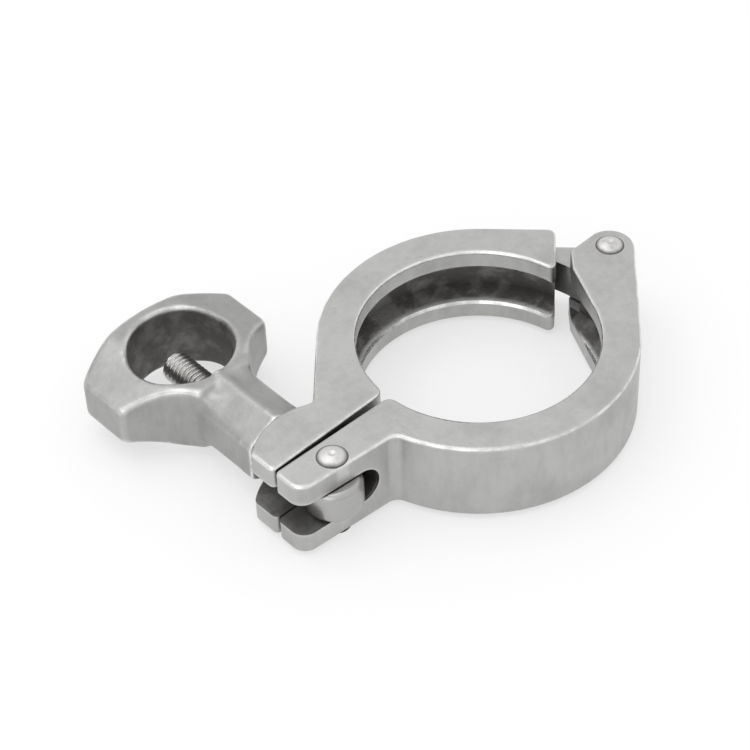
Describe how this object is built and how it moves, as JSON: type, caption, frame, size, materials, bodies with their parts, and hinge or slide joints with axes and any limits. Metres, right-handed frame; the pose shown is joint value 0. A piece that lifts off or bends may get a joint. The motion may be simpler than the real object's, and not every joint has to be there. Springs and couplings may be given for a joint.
{
  "type": "sanitary hinged clamp",
  "caption": "Cast stainless steel hinged ring clamp with a grooved inside for flanged tube ends, closed by a swing bolt and a wing nut with a large eyelet.",
  "frame": {"origin": "centre of the clamping ring, on its axis, half way up its height", "axes": "+Z along the ring's axis, +X from the ring's centre towards the hinge, +Y towards the half ring that the wing nut bears on"},
  "size_m": [0.0975, 0.0799, 0.0184],
  "materials": {
    "cast_steel": "cast stainless steel, tumbled to a satin finish with brighter edges",
    "rivet_steel": "stainless rivet with a smooth, bright head",
    "bolt_steel": "turned stainless steel with a rolled thread"
  },
  "bodies": {
    "front": {"front_half": "cast_steel", "hinge_pin": "rivet_steel", "bolt_pin": "rivet_steel"},
    "back": {"back_half": "cast_steel"},
    "bolt": {"swing_bolt": "bolt_steel"},
    "nut": {"wing_nut": "cast_steel"}
  },
  "joints": [
    {"name": "clamp_hinge", "type": "hinge", "parent": "front", "child": "back", "pos_m": [0.035, 0, 0], "axis": [0, 0, -1], "range_deg": [0, 60]},
    {"name": "bolt_swing", "type": "hinge", "parent": "front", "child": "bolt", "pos_m": [-0.0402, -0.0046, 0], "axis": [0, 0, 1], "range_deg": [0, 180]},
    {"name": "nut_travel", "type": "slide", "parent": "bolt", "child": "nut", "axis": [0, 1, 0], "range_m": [0, 0.084]}
  ],
  "couplings": [
    {"joint": "nut_travel", "follows": "clamp_hinge", "m_per_rad": 0.08}
  ]
}
